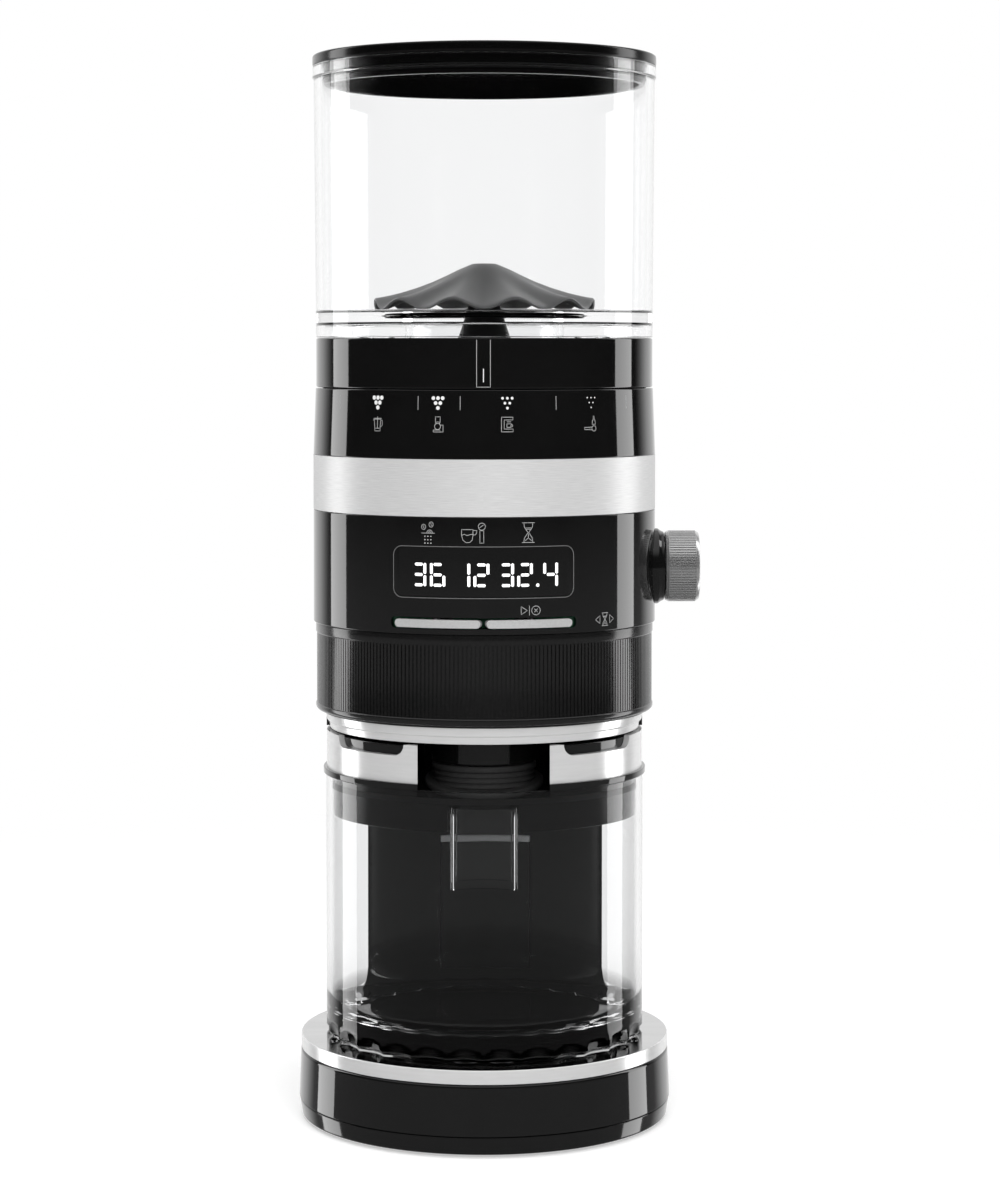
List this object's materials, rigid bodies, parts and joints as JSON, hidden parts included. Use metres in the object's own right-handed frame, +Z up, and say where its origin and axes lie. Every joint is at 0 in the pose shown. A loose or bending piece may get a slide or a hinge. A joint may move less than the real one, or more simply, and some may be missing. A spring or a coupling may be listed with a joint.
{
  "type": "burr coffee grinder",
  "caption": "Electric burr coffee grinder: clear bean hopper over a round black head on a rear column, side knob, display, and a clear lidded jar on a polished plate.",
  "frame": {"origin": "centre of the round base, on the surface that the rubber feet stand on", "axes": "+Z up, the display faces -Y, the side knob is on +X, the column stands at +Y"},
  "size_m": [0.1535, 0.186, 0.406],
  "materials": {
    "gloss_black": "high gloss",
    "satin_black": "satin",
    "rubber_black": "matte",
    "rubber_grey": "matte",
    "steel_screws": "zinc plated",
    "polished_steel": "polished",
    "brushed_steel": "brushed round the band",
    "pale_metal": "satin silver",
    "knob_metal": "fine knurled",
    "clear_plastic": "clear, glossy",
    "shield_grey": "satin metallic grey",
    "burr_steel": "ground",
    "cast_grey": "as cast",
    "brass": "turned",
    "nylon": "natural nylon",
    "motor_metal": "plated",
    "board_green": "solder mask",
    "switch_dark": "moulded",
    "display_glass": "high gloss smoked lens"
  },
  "bodies": {
    "housing": {"base_housing": "gloss_black", "control_housing": "gloss_black", "upper_housing": "gloss_black", "outlet_nozzle": "gloss_black", "base_cover": "satin_black", "column": "satin_black", "spine_panel": "satin_black", "rear_cover": "satin_black", "vent_ring": "satin_black", "head_floor": "satin_black", "knob_bezel": "satin_black", "cord_gland": "satin_black", "grounds_duct": "satin_black", "rubber_feet": "rubber_black", "base_screws": "steel_screws", "rear_screws": "steel_screws", "column_screws": "steel_screws", "motor_screws": "steel_screws", "chassis_rods": "steel_screws", "base_plate": "polished_steel", "lower_trim_ring": "polished_steel", "trim_band": "brushed_steel", "spine_strip": "pale_metal", "shaft_bearings": "burr_steel", "gear_plate": "cast_grey", "burr_chamber": "cast_grey", "motor_can": "motor_metal", "power_board": "board_green", "display_module": "board_green", "knob_encoder": "switch_dark", "button_switches": "switch_dark", "hopper_switch": "switch_dark", "display_window": "display_glass"},
    "collar": {"grind_collar": "gloss_black", "adjuster_ring": "brass"},
    "ring_burr_set": {"burr_carrier": "cast_grey", "ring_burr": "burr_steel"},
    "hopper_lock_ring": {"bayonet_ring": "satin_black"},
    "hopper": {"hopper": "clear_plastic", "bean_shield": "shield_grey", "hopper_throat": "satin_black"},
    "gate": {"hopper_gate": "satin_black"},
    "lid": {"hopper_lid": "gloss_black", "lid_seal": "rubber_black"},
    "knob": {"knob": "knob_metal", "knob_shaft": "burr_steel"},
    "program_button": {"program_button": "pale_metal"},
    "start_button": {"start_button": "pale_metal"},
    "burr": {"cone_burr": "burr_steel", "burr_shaft": "burr_steel", "impeller": "nylon", "drive_gear": "nylon"},
    "rotor": {"motor_shaft": "motor_metal", "motor_pinion": "brass"},
    "jar": {"jar": "clear_plastic", "jar_lid": "gloss_black", "jar_lid_ring": "polished_steel", "jar_seal": "rubber_black", "outlet_collar": "rubber_grey", "dosing_chute": "clear_plastic"}
  },
  "joints": [
    {"name": "grind_setting", "type": "hinge", "parent": "housing", "child": "collar", "pos_m": [0, 0, 0.289], "axis": [0, 0, 1], "range_deg": [-55, 55]},
    {"name": "ring_burr_lift", "type": "slide", "parent": "housing", "child": "ring_burr_set", "axis": [0, 0, 1], "range_m": [-0.00025, 0.00025]},
    {"name": "hopper_lock", "type": "hinge", "parent": "collar", "child": "hopper_lock_ring", "pos_m": [0, 0, 0.294], "axis": [0, 0, 1], "range_deg": [-45, 0]},
    {"name": "hopper_lift", "type": "slide", "parent": "hopper_lock_ring", "child": "hopper", "axis": [0, 0, 1], "range_m": [0, 0.1]},
    {"name": "gate_turn", "type": "hinge", "parent": "hopper", "child": "gate", "pos_m": [0, 0, 0.291], "axis": [0, 0, 1], "range_deg": [0, 45]},
    {"name": "lid_lift", "type": "slide", "parent": "hopper", "child": "lid", "axis": [0, 0, 1], "range_m": [0, 0.06]},
    {"name": "knob_turn", "type": "hinge", "parent": "housing", "child": "knob", "pos_m": [0.07, 0, 0.211], "axis": [1, 0, 0], "continuous": true},
    {"name": "program_press", "type": "slide", "parent": "housing", "child": "program_button", "axis": [0.2731, 0.962, 0], "range_m": [0, 0.0008], "stiffness_N_per_m": 600},
    {"name": "start_press", "type": "slide", "parent": "housing", "child": "start_button", "axis": [-0.2731, 0.962, 0], "range_m": [0, 0.0008], "stiffness_N_per_m": 600},
    {"name": "burr_spin", "type": "hinge", "parent": "housing", "child": "burr", "pos_m": [0, 0, 0.26], "axis": [0, 0, 1], "continuous": true},
    {"name": "motor_spin", "type": "hinge", "parent": "housing", "child": "rotor", "pos_m": [0, 0.022, 0.2], "axis": [0, 0, 1], "continuous": true},
    {"name": "jar_slide", "type": "slide", "parent": "housing", "child": "jar", "axis": [0, -1, 0], "range_m": [0, 0.15]}
  ],
  "couplings": [
    {"joint": "ring_burr_lift", "follows": "grind_setting", "m_per_rad": 0.00024},
    {"joint": "gate_turn", "follows": "hopper_lock", "ratio": -1},
    {"joint": "motor_spin", "follows": "burr_spin", "ratio": -2.6667}
  ]
}
